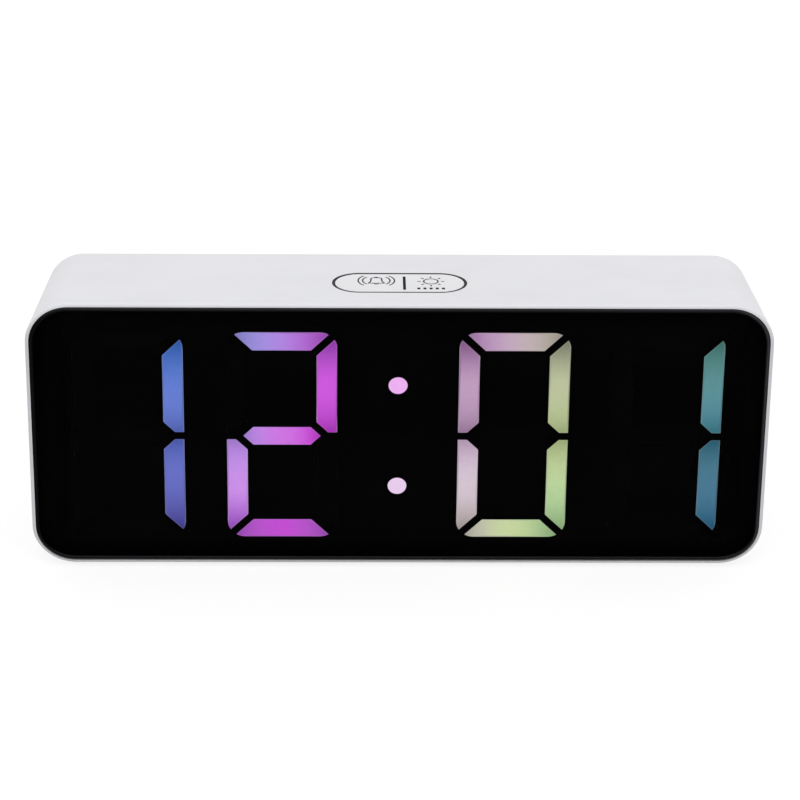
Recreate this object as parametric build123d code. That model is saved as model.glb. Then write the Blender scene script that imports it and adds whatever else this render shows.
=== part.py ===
from build123d import *
from math import atan2, cos, degrees, radians, sin, sqrt, tan
import os

# A free-standing LED desk clock. Everything is modelled upright in the case's own frame, where x runs
# to the right, y from the front face to the rear and z up, with the origin in the middle of the front
# face. At the end the whole clock leans back onto its drafted floor. All sizes are in millimetres.

# Case: a hollow housing whose four sides draw in towards the rear
case_width = 165.0
case_height = 65.65
case_depth = 32.4
side_draft = 3.25
roof_draft = 3.2
front_corner_radius = 9.7
rear_corner_radius = 8.3
wall = 2.0
side_rim_width = 0.85
level_rim_width = 0.72
rim_edge_radius = 0.6
rear_edge_radius = 1.0
overrun = 1.0
flat_gap = 0.05
running_fit = 0.05

# Lens, its tape and the mask film behind it
lens_thickness = 2.0
lens_proud = 0.2
lens_gap = 0.1
lens_edge_radius = 0.8
tape_width = 4.0
film_thickness = 0.2
film_gap = 0.3

# Digits: seven segments each, in two pairs with a colon between them
display_side_margin = 10.3
display_end_margin = 6.825
digit_gap = 9.54
digit_centre_gap = 27.0
digit_corner_radius = 3.9
segment_width = 4.56
segment_gap = 1.74
segment_flat = 2.03
colon_rise_share = 0.2454
colon_radius = 2.12
display_shift = -0.3
display_raise = -0.85
insert_depth = 2.2
lit_segments = ("bc", "abged", "abcdef", "bc")
digit_names = ("first", "second", "third", "fourth")

# Front panel, light box and display board
panel_thickness = 1.6
window_gap = 0.3
cell_wall = 1.2
light_box_depth = 7.4
tie_thickness = 1.2
board_thickness = 1.2
display_board_margin = 0.8
led_size = 3.0
led_thickness = 1.3
led_inset = 6.79
led_dish_radius = 1.1
led_dish_depth = 0.25

# Screws and the bosses they bite into
case_boss_radius = 2.9
case_pilot_radius = 1.25
case_screw_length = 8.0
case_screw_head_radius = 2.2
case_screw_head_height = 1.2
small_boss_radius = 2.3
small_pilot_radius = 0.9
small_screw_length = 5.0
small_screw_head_radius = 1.8
small_screw_head_height = 1.1
middle_screw_inset = 6.8
screw_fit = 0.04
screw_hole_gap = 0.3
cross_length_share = 1.3
cross_width = 0.5
cross_depth = 0.6

# Top key, its collar and its switch
key_depth = 13.73
key_length = 28.7
key_width = 11.0
key_edge_radius = 0.15
collar_gap = 0.1
collar_wall = 0.55
collar_fit = 0.03
collar_flange = 0.8
collar_flange_reach = 0.8
key_flange = 0.7
key_flange_reach = 0.8
key_stem_radius = 2.2
key_stem_length = 0.6
key_stem_offset = 2.8
key_travel = 0.35

# Tact switches
switch_size = 6.0
switch_height = 3.5
plunger_radius = 1.7
plunger_show = 0.9
plunger_sunk = 1.2
plunger_edge_radius = 0.1

# Top switch board
top_board_length = 46.0
top_board_width = 8.0
top_boss_spacing = 38.0
top_lead_offset = 13.0
top_lead_step = 2.5

# Rear cover
cover_recess = 0.6
cover_thickness = 2.0
cover_gap = 0.2
cover_edge_radius = 0.3
stop_thickness = 1.6
stop_reach = 1.6
stop_rise = 14.0
counterbore_gap = 0.2

# Battery bay, its door and what lies in it
cell_count = 3
cell_diameter = 10.5
cell_length = 43.7
nub_radius = 1.9
nub_length = 0.9
cell_gap = 0.3
bay_wall = 1.2
bay_margin = 13.8
spring_room = 5.0
plate_room = 1.3
door_thickness = 1.8
door_end_lap = 1.45
door_side_lap = 0.45
door_gap = 0.2
door_rest_gap = 0.2
door_corner_radius = 1.0
bay_flange_width = 2.0
bay_flange_thickness = 1.2
hinge_pin_radius = 0.6
hinge_pin_length = 1.2
latch_width = 9.0
latch_slot = 0.8
latch_length = 6.0
latch_nib = 1.0
grip_count = 4
grip_pitch = 1.6
grip_width = 0.7
grip_depth = 0.4
contact_thickness = 0.4
contact_size = 8.6
tab_length = 3.0
tab_width = 2.4
spring_radius = 2.9
spring_wire_radius = 0.3
spring_pitch = 1.3

# Control board, rear keys and slide switch
control_board_margin = 8.25
control_board_length = 64.0
control_board_height = 36.0
control_board_inset = 3.2
button_radius = 3.2
button_side_gap = 0.3
button_proud = 0.5
button_edge_radius = 0.4
button_flange_radius = 4.4
button_flange = 0.8
button_stem_radius = 1.5
button_stem_length = 0.6
button_travel = 0.35
button_pitch = 11.0
button_rise = 8.6
first_button_inset = 8.4
slide_body_length = 9.0
slide_body_width = 4.2
slide_body_height = 3.9
slide_travel = 2.0
slide_knob_length = 2.0
slide_knob_width = 1.8
slide_knob_sunk = 1.5
slide_knob_proud = 0.4
slide_gap = 0.2
slide_inset = 11.0
lower_row_drop = 8.6

# Sounder, socket, chips and capacitor
sounder_radius = 5.8
sounder_height = 5.0
sounder_hole_radius = 1.0
sounder_inset = 31.0
grille_slots = 5
grille_pitch = 2.0
grille_slot_width = 0.9
grille_slot_length = 8.0
socket_width = 8.94
socket_height = 3.26
socket_shell = 0.3
socket_inset = 52.0
socket_floor = 0.8
socket_opening_gap = 0.25
socket_recess = 0.4
tongue_width = 6.7
tongue_thickness = 0.7
tongue_recess = 0.9
chip_size = 7.0
chip_thickness = 1.4
chip_inset = 44.0
driver_length = 10.0
driver_width = 5.0
driver_spacing = 85.5
driver_drop = 12.0
capacitor_radius = 3.15
capacitor_clearance = 4.45
capacitor_inset = 56.0

# Ribbon and leads
ribbon_width = 12.0
ribbon_thickness = 0.3
ribbon_centre = 30.0
ribbon_socket_height = 4.0
ribbon_socket_depth = 2.0
ribbon_socket_margin = 1.0
ribbon_socket_drop = 12.0
ribbon_grip = 2.5
ribbon_drop = 3.0
ribbon_gap = 0.05
lead_radius = 0.6
lead_bend = 3.6
lead_bend_share = 0.98
lead_forward = 7.2
lead_reach = 10.0
lead_drop = 1.7
lead_rise = 7.4

# Feet
foot_radius = 4.0
foot_height = 1.0
foot_edge_radius = 0.3
foot_spacing = 132.0
front_foot_depth = 6.5
rear_foot_depth = 26.0

# Digit sizes that the case leaves room for
digit_height = case_height - 2 * display_end_margin
digit_width = (case_width - 2 * display_side_margin - digit_centre_gap - 2 * digit_gap) / 4
digit_pitch = digit_width + digit_gap
colon_rise = colon_rise_share * digit_height
led_spread = digit_width - 2 * led_inset

# Depths of the layers, counted from the front face
lean = atan2(roof_draft, case_depth)
lens_rear = lens_thickness - lens_proud
panel_front = lens_rear + film_thickness
panel_rear = panel_front + panel_thickness
display_board_front = panel_front + light_box_depth
display_board_rear = display_board_front + board_thickness
cover_rear = case_depth - cover_recess
cover_front = cover_rear - cover_thickness
button_foot = cover_front - flat_gap - button_flange - button_stem_length
switch_top = button_foot - plunger_show
control_board_rear = switch_top - switch_height
control_board_front = control_board_rear - board_thickness

# Heights under the roof's outer surface, measured square to it
roof_thickness = wall * cos(lean)
collar_foot = roof_thickness + collar_flange
key_flange_top = collar_foot + flat_gap
key_flange_foot = key_flange_top + key_flange
key_stem_foot = key_flange_foot + key_stem_length
top_switch_top = key_stem_foot + plunger_show
top_board_top = top_switch_top + switch_height
top_board_foot = top_board_top + board_thickness

# Battery bay sizes, with the bay set in from the case's left side and the control board from its right side
inner_side = case_width / 2 - side_draft - wall
bay_length = cell_length + nub_length + spring_room + plate_room
bay_centre = bay_margin + bay_length / 2 - inner_side
control_board_left = inner_side - control_board_margin - control_board_length
bay_height = cell_count * cell_diameter + (cell_count + 1) * cell_gap
bay_floor = cover_rear - door_thickness - door_rest_gap - 2 * cell_gap - cell_diameter
cell_depth = bay_floor + cell_gap + cell_diameter / 2
door_length = bay_length + 2 * bay_wall + 2 * door_end_lap
door_height = bay_height + 2 * bay_wall + 2 * door_side_lap
door_front = cover_rear - door_thickness
hinge_depth = cover_rear - door_thickness / 2
hinge_height = (door_thickness - door_height) / 2

# Places that several pieces share
digit_places = [
    display_shift + side * (digit_centre_gap + digit_width) / 2 + step
    for side, step in ((-1, -digit_pitch), (-1, 0), (1, 0), (1, digit_pitch))
]
between_digits = (digit_centre_gap + digit_width + digit_pitch) / 2
bay_flange_top = door_height / 2 + door_gap + bay_flange_width
case_boss_rise = bay_flange_top + case_boss_radius + button_side_gap
case_boss_places = [
    (display_shift + side * between_digits, end * case_boss_rise) for side in (-1, 1) for end in (-1, 1)
]
display_screw_places = [
    (display_shift - between_digits, display_raise),
    (display_shift + between_digits, display_raise),
    (display_shift, display_raise + digit_height / 2 - middle_screw_inset),
    (display_shift, display_raise - digit_height / 2 + middle_screw_inset),
]
control_board_centre = control_board_left + control_board_length / 2
control_post_places = [
    (control_board_centre + side * (control_board_length / 2 - control_board_inset),
     end * (control_board_height / 2 - control_board_inset))
    for side in (-1, 1)
    for end in (-1, 1)
]
button_names = ("time", "alarm", "plus", "minus", "colour")
button_places = {
    name: (control_board_left + first_button_inset + place * button_pitch, button_rise)
    for place, name in enumerate(button_names)
}
slide_place = (control_board_left + slide_inset, -lower_row_drop)
sounder_place = (control_board_left + sounder_inset, -lower_row_drop)
socket_place = (control_board_left + socket_inset, -lower_row_drop)


# Helpers
def across(depth):
    """The plane across the case at a depth, seen from the front, with its y along the case's z."""
    return Plane(origin=(0, depth, 0), x_dir=(1, 0, 0), z_dir=(0, -1, 0))


def slab(outline, front, rear):
    """The outline, drawn as seen from the front, filled from one depth back to another."""
    return extrude(across(rear) * outline, rear - front)


def post(place, radius, front, rear):
    """A round bar along the depth."""
    return slab(Pos(*place) * Circle(radius), front, rear)


def section(depth, inset=0):
    """The case's rounded outline at a depth, drawn in by an inset."""
    along = depth / case_depth
    radius = front_corner_radius + (rear_corner_radius - front_corner_radius) * along
    return RectangleRounded(
        case_width - 2 * (side_draft * along + inset),
        case_height - 2 * (roof_draft * along + inset),
        radius - inset,
    )


def drafted(front, rear, inset=0):
    """The space inside the case's drawn-in sides between two depths."""
    return loft([across(front) * section(front, inset), across(rear) * section(rear, inset)], ruled=True)


def roof_plane():
    """The roof's outer surface at the middle of the top key: x to the right, y to the rear, z outward."""
    height = case_height / 2 - roof_draft * key_depth / case_depth
    return Plane(origin=(0, key_depth, height), x_dir=(1, 0, 0), z_dir=(0, sin(lean), cos(lean)))


def under_roof(outline, top, foot):
    """The outline, drawn on the roof, filled between two heights under its outer surface."""
    return extrude(roof_plane().offset(-foot) * outline, foot - top)


def together(solids):
    """Separate solids of one node."""
    return Compound(children=list(solids))


def fused(shapes):
    """The shapes joined to one solid."""
    first, *others = shapes
    return first.fuse(*others) if others else first


def pill(length, width):
    return SlotOverall(length, width)


def screw(head_radius, head_height, shank_radius, length):
    """A cross-head screw along z, its head on the plane z = 0 and its shank below it."""
    shank = Pos(0, 0, -length / 2) * Cylinder(shank_radius, length)
    shank = chamfer(shank.faces().sort_by(Axis.Z)[0].edges(), shank_radius / 2)
    head = Pos(0, 0, head_height / 2) * Cylinder(head_radius, head_height)
    head = fillet(head.faces().sort_by(Axis.Z)[-1].edges(), head_height / 3)
    bar = Box(head_radius * cross_length_share, cross_width, cross_depth)
    cross = bar + Rot(Z=90) * bar
    return head + shank - Pos(0, 0, head_height - cross_depth / 2) * cross


def small_screw():
    return screw(
        small_screw_head_radius,
        small_screw_head_height,
        small_pilot_radius - screw_fit,
        small_screw_length,
    )


def facing(place, depth, way):
    """A plane across the case whose z axis points to the rear (way 1) or to the front (way -1)."""
    return Plane(origin=(place[0], depth, place[1]), x_dir=(1, 0, 0), z_dir=(0, way, 0))


# Digits
def segment_outlines():
    """The seven segments of one digit by their usual letters, about the digit's centre."""
    half_width = digit_width / 2
    half_height = digit_height / 2
    inner = half_width - segment_width
    mitre = segment_gap / sqrt(2)
    half_gap = segment_gap / 2
    tip = half_width - (segment_flat - half_gap) - segment_gap * sqrt(2)
    outline = RectangleRounded(digit_width, digit_height, digit_corner_radius)
    top = outline & Polygon(
        (mitre - half_width, half_height),
        (half_width - mitre, half_height),
        (inner - mitre, half_height - segment_width),
        (mitre - inner, half_height - segment_width),
        align=None,
    )
    upper_right = outline & Polygon(
        (half_width, half_height - mitre),
        (half_width, half_gap),
        (half_width - segment_flat, half_gap),
        (inner, half_gap + segment_width - segment_flat),
        (inner, half_height - segment_width - mitre),
        align=None,
    )
    middle = Polygon(
        (tip, 0),
        (tip - segment_width / 2, segment_width / 2),
        (segment_width / 2 - tip, segment_width / 2),
        (-tip, 0),
        (segment_width / 2 - tip, -segment_width / 2),
        (tip - segment_width / 2, -segment_width / 2),
        align=None,
    )
    upper_left = mirror(upper_right, about=Plane.YZ)
    half_turn = Rot(Z=180)
    return {
        "a": top,
        "b": upper_right,
        "c": half_turn * upper_left,
        "d": half_turn * top,
        "e": half_turn * upper_right,
        "f": upper_left,
        "g": middle,
    }


def placed_segments(wanted):
    """The segments of all four digits for which wanted(digit number, letter) holds."""
    outlines = segment_outlines()
    return [
        Pos(place, display_raise) * outline
        for number, place in enumerate(digit_places)
        for letter, outline in outlines.items()
        if wanted(number, letter)
    ]


def colon_places():
    return [(display_shift, display_raise + side * colon_rise) for side in (-1, 1)]


def colon_dots(radius):
    return [Pos(*place) * Circle(radius) for place in colon_places()]


def lit_in(digit):
    """The lit segments of one digit."""
    return placed_segments(lambda number, letter: number == digit and letter in lit_segments[number])


def dark_ones():
    return placed_segments(lambda number, letter: letter not in lit_segments[number])


def segment_inserts(outlines):
    """Smoked inserts just behind the lens, a little smaller than the openings that they fill."""
    front = lens_rear + flat_gap
    return together(
        slab(offset(outline, -running_fit), front, front + insert_depth) for outline in outlines
    )


# Front: lens, tape, mask and light box
def recess_outline(inset=0):
    width = case_width - 2 * (side_rim_width + inset)
    height = case_height - 2 * (level_rim_width + inset)
    return RectangleRounded(width, height, front_corner_radius - side_rim_width - inset)


def tape_inner_outline(gap=0):
    return recess_outline(lens_gap + tape_width + gap)


def front_lens():
    plate = slab(recess_outline(lens_gap), -lens_proud, lens_rear)
    return fillet(plate.edges().group_by(Axis.Y)[0], lens_edge_radius)


def lens_tape():
    ring = recess_outline(2 * lens_gap) - tape_inner_outline()
    return slab(ring, lens_rear, panel_front)


def segment_openings():
    return placed_segments(lambda number, letter: True) + colon_dots(colon_radius)


def segment_mask():
    film = slab(tape_inner_outline(film_gap), lens_rear, panel_front)
    through = (lens_rear - overrun, panel_front + overrun)
    return film - [slab(outline, *through) for outline in segment_openings()]


def light_box_outlines(grow=0):
    """The outlines of the light box's five blocks as seen from the front."""
    edge = cell_wall + grow
    blocks = [
        Pos(place, display_raise)
        * RectangleRounded(digit_width + 2 * edge, digit_height + 2 * edge, digit_corner_radius + edge)
        for place in digit_places
    ]
    return blocks + colon_dots(colon_radius + edge)


def light_box_counters():
    """The empty middles of each digit block, outside the cells."""
    width = digit_width - 2 * (segment_width + cell_wall)
    height = (digit_height - 3 * segment_width) / 2 - 2 * cell_wall
    rise = (digit_height - segment_width) / 4
    return [
        Pos(place, display_raise + side * rise) * Rectangle(width, height)
        for place in digit_places
        for side in (-1, 1)
    ]


def display_outline(margin=0):
    """The rectangle round all the light box's blocks, with a margin at its two ends."""
    length = 2 * (digit_places[-1] - display_shift) + digit_width + 2 * (cell_wall + margin)
    return Pos(display_shift, display_raise) * Rectangle(length, digit_height + 2 * cell_wall)


def light_box():
    """White cells, one behind each segment, that keep each segment's light to itself."""
    blocks = fused(slab(outline, panel_front, display_board_front) for outline in light_box_outlines())
    for outline in light_box_counters():
        blocks -= slab(outline, panel_front - overrun, display_board_front + overrun)
    tie_front = panel_rear + window_gap
    body = blocks + slab(display_outline(), tie_front, tie_front + tie_thickness)
    for outline in segment_openings():
        body -= slab(outline, panel_front - overrun, display_board_front + overrun)
    for place in case_boss_places:
        body -= post(place, case_boss_radius + screw_hole_gap, panel_rear, display_board_front)
    for place in display_screw_places:
        body -= post(place, small_boss_radius + screw_hole_gap, panel_rear, display_board_front)
    return body


# Display board
def display_board():
    board = slab(display_outline(display_board_margin), display_board_front, display_board_rear)
    for place in case_boss_places:
        board -= post(place, case_boss_radius + screw_hole_gap, 0, case_depth)
    for place in display_screw_places:
        board -= post(place, small_pilot_radius + screw_hole_gap, 0, case_depth)
    return board


def led_places():
    """Two LEDs behind each segment, set apart along it, and one behind each colon dot."""
    half = led_spread / 2
    column = (digit_width - segment_width) / 2
    row = (digit_height - segment_width) / 2
    level = [(side * half, end * row) for side in (-1, 1) for end in (-1, 0, 1)]
    upright = [
        (side * column, end * row / 2 + step) for side in (-1, 1) for end in (-1, 1) for step in (-half, half)
    ]
    places = [
        (place + x, display_raise + z) for place in digit_places for x, z in level + upright
    ]
    return places + colon_places()


def segment_leds():
    package = slab(Rectangle(led_size, led_size), display_board_front - led_thickness, display_board_front)
    dish_front = display_board_front - led_thickness
    package -= post((0, 0), led_dish_radius, dish_front - overrun, dish_front + led_dish_depth)
    return together(Pos(x, 0, z) * package for x, z in led_places())


def driver_chips():
    outline = Rectangle(driver_length, driver_width)
    return together(
        slab(
            Pos(display_shift + side * driver_spacing / 2, -driver_drop) * outline,
            display_board_rear,
            display_board_rear + chip_thickness,
        )
        for side in (-1, 1)
    )


def display_screws():
    return together(facing(place, display_board_rear, 1) * small_screw() for place in display_screw_places)


# Housing
def cover_outline(gap=0):
    """The outline of the rear cover: the housing's mouth, less the gap round it."""
    return section(case_depth, wall + gap)


def housing_windows():
    return light_box_outlines(window_gap)


def main_housing():
    shell = drafted(0, case_depth)
    shell = fillet(shell.edges().group_by(Axis.Y)[0], rim_edge_radius)
    shell = fillet(shell.edges().group_by(Axis.Y)[-1], rear_edge_radius)
    shell -= drafted(panel_rear, case_depth + overrun, wall)
    shell -= slab(recess_outline(), -overrun, panel_front)
    for outline in housing_windows():
        shell -= slab(outline, 0, panel_rear + overrun)
    shell += [post(place, case_boss_radius, panel_front, cover_front) for place in case_boss_places]
    shell += [
        post(place, small_boss_radius, panel_front, display_board_front) for place in display_screw_places
    ]
    shell += cover_stops() + top_bosses()
    pilot = case_screw_length + overrun
    for place in case_boss_places:
        shell -= post(place, case_pilot_radius, cover_front - pilot, case_depth)
    for place in display_screw_places:
        shell -= post(place, small_pilot_radius, display_board_front - small_screw_length, display_board_rear)
    shell -= under_roof(collar_outline(collar_fit), -overrun, roof_thickness + flat_gap)
    for place in top_boss_places():
        shell -= under_roof(
            Pos(*place) * Circle(small_pilot_radius), top_board_top - small_screw_length, top_board_foot
        )
    return shell


def cover_stops():
    """Ribs inside the end walls that the rear cover rests on."""
    edge = case_width / 2 - side_draft - wall - stop_reach
    ribs = []
    for side in (-1, 1):
        for end in (-1, 1):
            place = Pos(side * (edge + stop_reach), end * stop_rise)
            rib = slab(place * Rectangle(2 * stop_reach, stop_thickness), panel_front, cover_front)
            ribs.append(rib & drafted(0, case_depth, wall / 2))
    return ribs


# Top key and what it presses
def collar_outline(gap=0):
    rim = 2 * (collar_gap + collar_wall + gap)
    return pill(key_length + rim, key_width + rim)


def key_bezel():
    """The black collar round the top key, with a flange under the roof."""
    reach = 2 * (collar_gap + collar_wall + collar_flange_reach)
    hole = pill(key_length + 2 * collar_gap, key_width + 2 * collar_gap)
    ring = under_roof(collar_outline(), 0, collar_foot)
    flange = under_roof(pill(key_length + reach, key_width + reach), roof_thickness + flat_gap, collar_foot)
    return ring + flange - under_roof(hole, -overrun, collar_foot + overrun)


def top_key():
    reach = 2 * key_flange_reach
    cap = under_roof(pill(key_length, key_width), 0, key_flange_foot)
    cap = fillet(cap.faces().sort_by(Axis.Z)[-1].edges(), key_edge_radius)
    flange = under_roof(pill(key_length + reach, key_width + reach), key_flange_top, key_flange_foot)
    stem = under_roof(Pos(0, key_stem_offset) * Circle(key_stem_radius), key_flange_foot, key_stem_foot)
    return cap + flange + stem


def switch_body():
    """A tact switch standing on z = 0, with the bore that its plunger slides in."""
    body = Pos(0, 0, switch_height / 2) * Box(switch_size, switch_size, switch_height)
    body = chamfer(body.faces().sort_by(Axis.Z)[-1].edges(), cross_width / 2)
    bore_depth = plunger_sunk + key_travel + plunger_show / 2
    bore = Pos(0, 0, switch_height - bore_depth / 2 + overrun / 2)
    return body - bore * Cylinder(plunger_radius + running_fit, bore_depth + overrun)


def switch_plunger():
    """The tact switch's plunger, standing out of a body on z = 0."""
    length = plunger_sunk + plunger_show
    rod = Pos(0, 0, switch_height - plunger_sunk + length / 2) * Cylinder(plunger_radius, length)
    return fillet(rod.faces().sort_by(Axis.Z)[-1].edges(), plunger_edge_radius)


def top_switch_plane():
    return roof_plane() * Plane.XY.offset(-top_board_top) * Pos(0, key_stem_offset, 0)


def top_boss_places():
    return [(side * top_boss_spacing / 2, key_stem_offset) for side in (-1, 1)]


def top_bosses():
    return [
        under_roof(Pos(*place) * Circle(small_boss_radius), roof_thickness - overrun, top_board_top)
        for place in top_boss_places()
    ]


def top_switch_board():
    board = under_roof(
        Pos(0, key_stem_offset) * Rectangle(top_board_length, top_board_width), top_board_top, top_board_foot
    )
    for place in top_boss_places():
        hole = Pos(*place) * Circle(small_pilot_radius + screw_hole_gap)
        board -= under_roof(hole, top_board_top - overrun, top_board_foot + overrun)
    return board


def top_board_screws():
    seat = Location(roof_plane() * Plane.XY.offset(-top_board_foot))
    upright = Rot(X=180) * small_screw()
    return together(seat * Pos(*place) * upright for place in top_boss_places())


# Rear cover and battery bay
def bay_outline(grow=0):
    return Pos(bay_centre, 0) * Rectangle(bay_length + 2 * grow, bay_height + 2 * grow)


def door_outline(grow=0):
    return Pos(bay_centre, 0) * Rectangle(door_length + 2 * grow, door_height + 2 * grow)


def grille():
    x, z = sounder_place
    return [
        Pos(x + (number - (grille_slots - 1) / 2) * grille_pitch, z)
        * SlotOverall(grille_slot_length, grille_slot_width, rotation=90)
        for number in range(grille_slots)
    ]


def slide_slot():
    length = slide_knob_length + slide_travel + 2 * slide_gap
    return Pos(*slide_place) * Rectangle(length, slide_knob_width + 2 * slide_gap)


def rear_cover():
    plate = slab(cover_outline(cover_gap), cover_front, cover_rear)
    plate = fillet(plate.edges().group_by(Axis.Y)[-1], cover_edge_radius)
    plate -= slab(door_outline(door_gap), cover_front - overrun, cover_rear + overrun)
    flange = slab(door_outline(door_gap + bay_flange_width), cover_front - bay_flange_thickness, cover_front)
    tub = slab(bay_outline(bay_wall), bay_floor - bay_wall, cover_front)
    posts = [post(place, small_boss_radius, control_board_rear, cover_front) for place in control_post_places]
    body = plate + flange + tub + posts
    body -= slab(bay_outline(), bay_floor, cover_rear)
    hole_radius = button_radius + button_side_gap
    cuts = [post(place, hole_radius, cover_front, case_depth) for place in button_places.values()]
    cuts += [slab(outline, cover_front - overrun, case_depth) for outline in grille()]
    cuts.append(slab(slide_slot(), cover_front - overrun, case_depth))
    opening = pill(socket_width + 2 * socket_opening_gap, socket_height + 2 * socket_opening_gap)
    cuts.append(slab(Pos(*socket_place) * opening, cover_front - overrun, case_depth))
    for place in case_boss_places:
        head_front = cover_rear - case_screw_head_height
        cuts.append(post(place, case_pilot_radius + screw_hole_gap, cover_front - overrun, case_depth))
        cuts.append(post(place, case_screw_head_radius + counterbore_gap, head_front, case_depth))
    pilot_end = control_board_rear + small_screw_length
    for place in control_post_places:
        cuts.append(post(place, small_pilot_radius, control_board_rear - overrun, pilot_end))
    for end in (-1, 1):
        cuts.append(hinge_rod(end, hinge_pin_radius + running_fit, door_gap + hinge_pin_length + door_gap))
        cuts.append(contact_tab(end, running_fit))
    return body - cuts


def hinge_rod(side, radius, length):
    """A bar along the hinge line that starts on the door's end face."""
    start = bay_centre + side * door_length / 2
    middle = start + side * length / 2
    return Pos(middle, hinge_depth, hinge_height) * Rot(Y=90) * Cylinder(radius, length)


def battery_door():
    """A flat door that swings down about two end pins, with a sprung latch and grips at its top edge."""
    above_hinge = Pos(bay_centre, hinge_height + door_height / 2) * Rectangle(2 * door_length, door_height)
    plate = slab(door_outline() & above_hinge, door_front, cover_rear)
    hinge_line = Pos(bay_centre, hinge_depth, hinge_height) * Rot(Y=90)
    door = plate + hinge_line * Cylinder(door_thickness / 2, door_length)
    top = door_height / 2
    for side in (-1, 1):
        slot_x = bay_centre + side * (latch_width + latch_slot) / 2
        slot = Pos(slot_x, top - latch_length / 2) * Rectangle(latch_slot, latch_length)
        door -= slab(slot, door_front - overrun, cover_rear + overrun)
    for number in range(grip_count):
        groove_z = top - latch_length / 2 + (number - (grip_count - 1) / 2) * grip_pitch - grip_pitch / 2
        groove = Pos(bay_centre, groove_z) * Rectangle(latch_width - 2 * latch_slot, grip_width)
        door -= slab(groove, cover_rear - grip_depth, cover_rear + overrun)
    nib_z = bay_height / 2 - cell_gap - latch_nib / 2
    nib = Pos(bay_centre, nib_z) * Rectangle(latch_width - 2 * latch_slot, latch_nib)
    door += slab(nib, door_front - latch_nib, door_front)
    for side in (-1, 1):
        door += hinge_rod(side, hinge_pin_radius, door_gap + hinge_pin_length)
    return door


# Cells and their contacts
def cell_rises():
    pitch = cell_diameter + cell_gap
    return [((cell_count - 1) / 2 - number) * pitch for number in range(cell_count)]


def cell_way(number):
    """Which way a cell's raised end points: every second cell lies the other way round."""
    return 1 if number % 2 == 0 else -1


def along_x(x, z, way):
    """A plane square to the cells whose z axis points along x, one way or the other."""
    return Plane(origin=(x, cell_depth, z), x_dir=(0, 1, 0), z_dir=(way, 0, 0))


def cell_start(number):
    """Where a cell's flat end stands, clear of the spring's room."""
    return bay_centre - cell_way(number) * (bay_length / 2 - spring_room)


def battery_cells():
    cells = []
    for number, rise in enumerate(cell_rises()):
        plane = along_x(cell_start(number), rise, cell_way(number))
        body = plane * Pos(0, 0, cell_length / 2) * Cylinder(cell_diameter / 2, cell_length)
        body = fillet(body.edges(), cell_gap)
        nub = plane * Pos(0, 0, cell_length + nub_length / 2) * Cylinder(nub_radius, nub_length)
        cells.append(body + nub)
    return together(cells)


def contact_groups(side):
    """The neighbouring cells that each contact plate at one end of the bay joins."""
    numbers = list(range(cell_count))
    first = numbers[:1] if side > 0 else []
    rest = numbers[len(first):]
    pairs = [rest[start:start + 2] for start in range(0, len(rest), 2)]
    return [group for group in [first] + pairs if group]


def contact_tab(side, gap=0):
    """The solder tab through the bay's end wall: on the right at the first cell, on the left at the last."""
    rise = cell_rises()[0 if side > 0 else -1]
    start = bay_centre + side * bay_length / 2
    outline = Rectangle(tab_length + bay_wall, tab_width + 2 * gap)
    half = contact_thickness / 2 + gap
    middle = start + side * (tab_length + bay_wall) / 2
    return slab(Pos(middle, rise) * outline, cell_depth - half, cell_depth + half)


def contact_plates():
    """Sheet contacts against both end walls, each joining the cells that follow each other."""
    rises = cell_rises()
    plates = []
    for side in (-1, 1):
        wall_x = bay_centre + side * bay_length / 2
        for group in contact_groups(side):
            middle = (rises[group[0]] + rises[group[-1]]) / 2
            height = rises[group[0]] - rises[group[-1]] + contact_size
            plane = along_x(wall_x, middle, -side)
            outline = RectangleRounded(contact_size, height, door_corner_radius)
            plate = extrude(plane * outline, contact_thickness)
            for number in group:
                if cell_way(number) == side:
                    plate += raised_contact(wall_x, rises[number], side)
            if (0 if side > 0 else cell_count - 1) in group:
                plate += contact_tab(side)
            plates.append(plate)
    return together(plates)


def raised_contact(wall_x, rise, side):
    """The pressed-out dimple that a cell's raised end touches."""
    reach = plate_room - flat_gap
    return along_x(wall_x, rise, -side) * Pos(0, 0, reach / 2) * Cylinder(nub_radius, reach)


def battery_springs():
    """Wire springs between the contact plates and the cells' flat ends."""
    height = spring_room - contact_thickness - 2 * (spring_wire_radius + flat_gap)
    springs = []
    for number, rise in enumerate(cell_rises()):
        way = cell_way(number)
        foot = bay_centre - way * (bay_length / 2 - contact_thickness - spring_wire_radius - flat_gap)
        path = Helix(pitch=spring_pitch, height=height, radius=spring_radius)
        start = Plane(origin=path @ 0, z_dir=path % 0)
        springs.append(along_x(foot, rise, way) * sweep(start * Circle(spring_wire_radius), path=path))
    return together(springs)


# Control board
def control_board():
    outline = Pos(control_board_centre, 0) * RectangleRounded(
        control_board_length, control_board_height, door_corner_radius
    )
    board = slab(outline, control_board_front, control_board_rear)
    hole_radius = small_pilot_radius + screw_hole_gap
    through = (control_board_front - overrun, control_board_rear + overrun)
    return board - [post(place, hole_radius, *through) for place in control_post_places]


def control_board_screws():
    return together(facing(place, control_board_front, -1) * small_screw() for place in control_post_places)


def control_switches():
    return together(facing(place, control_board_rear, 1) * switch_body() for place in button_places.values())


def button(place):
    """A round rear key with the flange that keeps it behind the cover."""
    cap = post(place, button_radius, cover_front - flat_gap, cover_rear + button_proud)
    cap = fillet(cap.edges().group_by(Axis.Y)[-1], button_edge_radius)
    flange = post(place, button_flange_radius, button_foot + button_stem_length, cover_front - flat_gap)
    return cap + flange + post(place, button_stem_radius, button_foot, button_foot + button_stem_length)


def button_plunger(place):
    return facing(place, control_board_rear, 1) * switch_plunger()


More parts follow.
